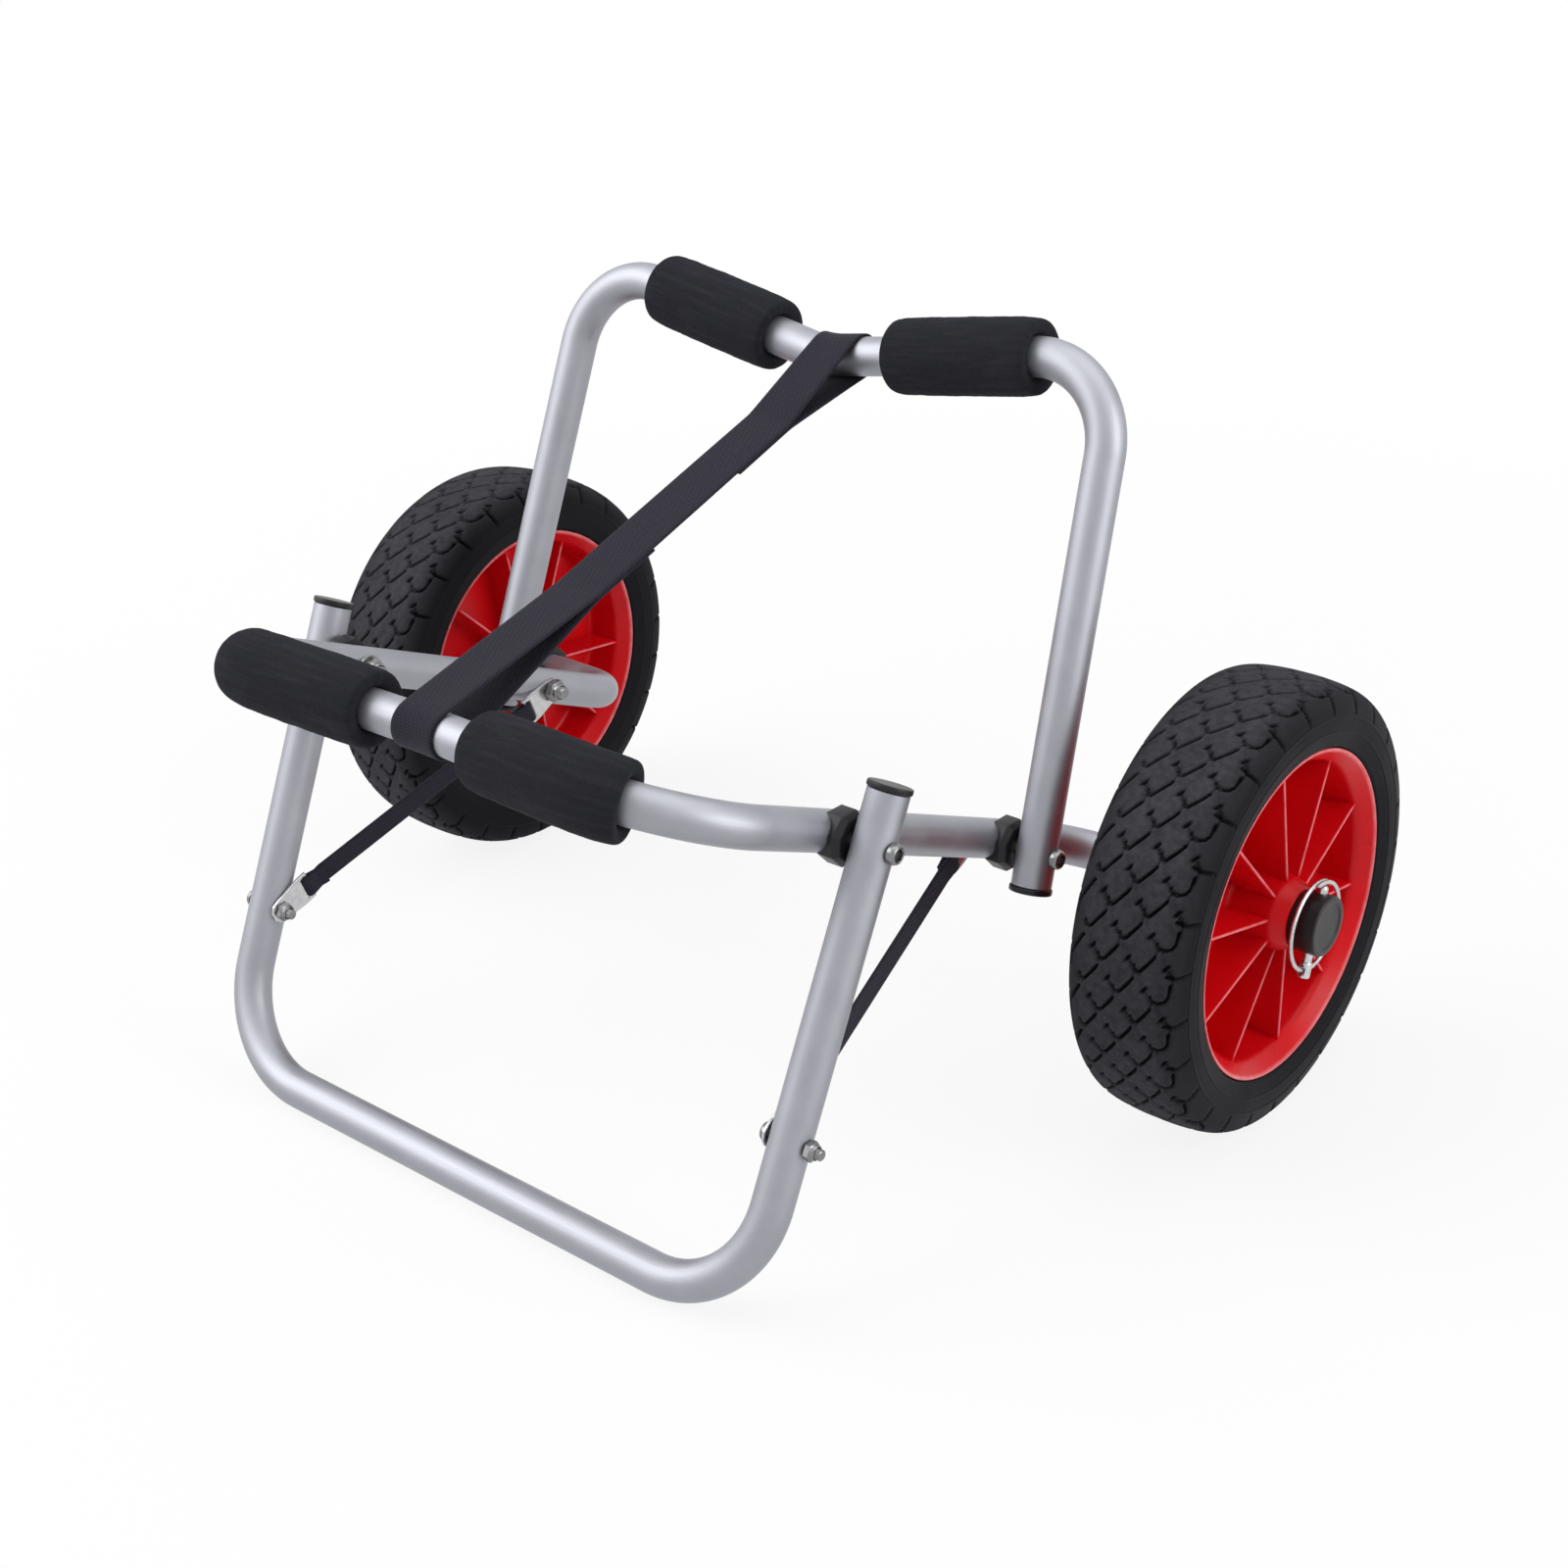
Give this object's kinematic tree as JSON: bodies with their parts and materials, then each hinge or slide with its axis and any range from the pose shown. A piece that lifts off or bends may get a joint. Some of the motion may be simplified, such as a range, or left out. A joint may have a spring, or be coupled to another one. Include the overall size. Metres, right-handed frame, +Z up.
{
  "type": "kayak cart",
  "caption": "Folding kayak cart with foam-padded tube cradle, hinged rear frame and stand, webbing straps and removable ribbed wheels.",
  "frame": {"origin": "on the ground, at the middle of the cart's outer box", "axes": "+X along the axle to the cart's right, +Y towards the rear frame and the wheels, -Y towards the stand, +Z up"},
  "size_m": [0.6898, 0.4762, 0.4287],
  "materials": {
    "aluminium_tube": "satin anodised",
    "black_foam": "matt closed-cell foam",
    "black_plastic": "moulded",
    "tyre_rubber": "matt rubber with block tread",
    "red_plastic": "glossy moulded",
    "webbing": "woven strap",
    "zinc_steel": "bright zinc"
  },
  "bodies": {
    "cradle": {"cradle_frame": "aluminium_tube", "cradle_grip_right": "black_foam", "cradle_grip_left": "black_foam", "rear_pivot_bolt_right": "zinc_steel", "rear_pivot_bolt_left": "zinc_steel", "rear_pivot_nut_right": "zinc_steel", "rear_pivot_nut_left": "zinc_steel", "rear_pivot_spacer_right": "black_plastic", "rear_pivot_spacer_left": "black_plastic", "stand_pivot_bolt_right": "zinc_steel", "stand_pivot_bolt_left": "zinc_steel", "stand_pivot_nut_right": "zinc_steel", "stand_pivot_nut_left": "zinc_steel", "stand_pivot_washer_right": "zinc_steel", "stand_pivot_washer_left": "zinc_steel", "stand_pivot_spacer_right": "black_plastic", "stand_pivot_spacer_left": "black_plastic", "strap_top_bracket_right": "zinc_steel", "strap_top_bracket_left": "zinc_steel", "axle_collar_right": "black_plastic", "axle_collar_left": "black_plastic", "axle_cap_right": "black_plastic", "axle_cap_left": "black_plastic", "lock_pin_right": "zinc_steel", "lock_pin_left": "zinc_steel", "hull_strap": "webbing"},
    "rear": {"rear_frame": "aluminium_tube", "rear_grip_right": "black_foam", "rear_grip_left": "black_foam", "rear_leg_cap_right": "black_plastic", "rear_leg_cap_left": "black_plastic"},
    "stand": {"stand_frame": "aluminium_tube", "stand_leg_cap_right": "black_plastic", "stand_leg_cap_left": "black_plastic", "strap_low_bracket_right": "zinc_steel", "strap_low_bracket_left": "zinc_steel", "strap_bolt_right": "zinc_steel", "strap_bolt_left": "zinc_steel", "strap_nut_right": "zinc_steel", "strap_nut_left": "zinc_steel", "stand_strap_right": "webbing", "stand_strap_left": "webbing"},
    "wheel_right": {"tyre_right": "tyre_rubber", "rim_right": "red_plastic"},
    "wheel_left": {"tyre_left": "tyre_rubber", "rim_left": "red_plastic"},
    "ring_right": {"lock_ring_right": "zinc_steel"},
    "ring_left": {"lock_ring_left": "zinc_steel"}
  },
  "joints": [
    {"name": "rear_fold", "type": "hinge", "parent": "cradle", "child": "rear", "pos_m": [0, 0.03092, 0.16681], "axis": [1, 0, 0], "range_deg": [0, 65], "deforming": ["hull_strap"]},
    {"name": "stand_fold", "type": "hinge", "parent": "cradle", "child": "stand", "pos_m": [0, -0.11214, 0.23505], "axis": [1, 0, 0], "range_deg": [0, 73], "deforming": ["stand_strap_right", "stand_strap_left"]},
    {"name": "wheel_right_spin", "type": "hinge", "parent": "cradle", "child": "wheel_right", "pos_m": [0.2915, 0.10809, 0.13], "axis": [1, 0, 0], "continuous": true},
    {"name": "wheel_left_spin", "type": "hinge", "parent": "cradle", "child": "wheel_left", "pos_m": [-0.2915, 0.10809, 0.13], "axis": [1, 0, 0], "continuous": true},
    {"name": "lock_ring_right_swing", "type": "hinge", "parent": "cradle", "child": "ring_right", "pos_m": [0.3369, 0.09886, 0.10463], "axis": [0, 0.9397, -0.342], "range_deg": [0, 110], "stiffness_Nm_per_rad": 0.01, "springref_deg": -20.05},
    {"name": "lock_ring_left_swing", "type": "hinge", "parent": "cradle", "child": "ring_left", "pos_m": [-0.3369, 0.09886, 0.10463], "axis": [0, -0.9397, 0.342], "range_deg": [0, 110], "stiffness_Nm_per_rad": 0.01, "springref_deg": -20.05}
  ]
}
